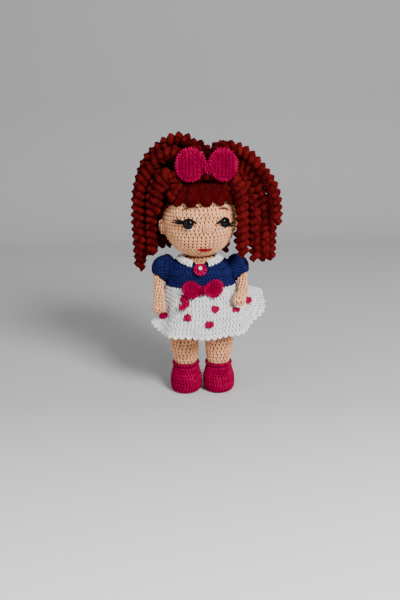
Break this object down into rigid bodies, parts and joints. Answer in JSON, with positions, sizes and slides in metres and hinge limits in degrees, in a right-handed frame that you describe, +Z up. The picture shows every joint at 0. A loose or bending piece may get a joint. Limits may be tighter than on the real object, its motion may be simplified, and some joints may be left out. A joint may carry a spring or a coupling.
{
  "type": "amigurumi doll",
  "caption": "Crocheted doll with a round turning head, bunches of corkscrew locks, turning arms, a yoked dress with a flared skirt, bows and bulging boots it stands on.",
  "frame": {"origin": "on the floor under the middle of the whole doll's box, hair and skirt included", "axes": "+Z up the standing doll; the doll's body faces -Y, so its own left side is at +X"},
  "size_m": [0.1242, 0.0911, 0.2226],
  "materials": {
    "skin_yarn": "matte cotton yarn, single crochet",
    "hair_yarn": "matte yarn, crocheted corkscrews",
    "magenta_yarn": "matte cotton yarn, single crochet",
    "navy_yarn": "matte cotton yarn, single crochet",
    "white_yarn": "matte cotton yarn, open crochet",
    "eye_plastic": "polished",
    "pearl_bead": "pearl",
    "washer_plastic": "moulded",
    "insole_board": "flat sheet",
    "dowel_wood": "plain",
    "joint_cord": "waxed cord"
  },
  "bodies": {
    "body": {"torso": "skin_yarn", "neck_dowel": "dowel_wood", "left_leg": "skin_yarn", "right_leg": "skin_yarn", "left_boot": "magenta_yarn", "right_boot": "magenta_yarn", "left_insole": "insole_board", "right_insole": "insole_board", "dress_yoke": "navy_yarn", "dress_skirt": "white_yarn", "collar": "white_yarn", "collar_flower": "magenta_yarn", "flower_bead": "pearl_bead", "waist_bow_left_loop": "magenta_yarn", "waist_bow_right_loop": "magenta_yarn", "waist_bow_knot": "magenta_yarn", "waist_bow_tail": "magenta_yarn", "arm_joint_cord": "joint_cord"},
    "head_piece": {"head": "skin_yarn", "left_ear": "skin_yarn", "right_ear": "skin_yarn", "nose": "skin_yarn", "left_eye": "eye_plastic", "right_eye": "eye_plastic", "left_eye_washer": "washer_plastic", "right_eye_washer": "washer_plastic", "wig_cap": "hair_yarn", "fringe": "hair_yarn", "hair_bow_left_loop": "magenta_yarn", "hair_bow_right_loop": "magenta_yarn", "hair_bow_knot": "magenta_yarn", "right_lock_1": "hair_yarn", "right_lock_2": "hair_yarn", "right_lock_3": "hair_yarn", "right_lock_4": "hair_yarn", "right_lock_5": "hair_yarn", "right_lock_6": "hair_yarn", "right_lock_7": "hair_yarn", "right_lock_8": "hair_yarn", "right_lock_9": "hair_yarn", "right_lock_10": "hair_yarn", "right_lock_11": "hair_yarn", "right_lock_12": "hair_yarn", "left_lock_1": "hair_yarn", "left_lock_2": "hair_yarn", "left_lock_3": "hair_yarn", "left_lock_4": "hair_yarn", "left_lock_5": "hair_yarn", "left_lock_6": "hair_yarn", "left_lock_7": "hair_yarn", "left_lock_8": "hair_yarn", "left_lock_9": "hair_yarn", "left_lock_10": "hair_yarn", "left_lock_11": "hair_yarn", "left_lock_12": "hair_yarn"},
    "left_arm_piece": {"left_arm": "skin_yarn", "left_sleeve": "navy_yarn"},
    "right_arm_piece": {"right_arm": "skin_yarn", "right_sleeve": "navy_yarn"}
  },
  "joints": [
    {"name": "neck_turn", "type": "hinge", "parent": "body", "child": "head_piece", "pos_m": [-0.0062, -0.003, 0.1498], "axis": [0, 0, 1], "range_deg": [-15, 15]},
    {"name": "left_shoulder", "type": "hinge", "parent": "body", "child": "left_arm_piece", "pos_m": [0.0291, -0.003, 0.1085], "axis": [-1, 0, 0], "range_deg": [0, 50]},
    {"name": "right_shoulder", "type": "hinge", "parent": "body", "child": "right_arm_piece", "pos_m": [-0.0415, -0.003, 0.1085], "axis": [-1, 0, 0], "range_deg": [0, 70]}
  ]
}
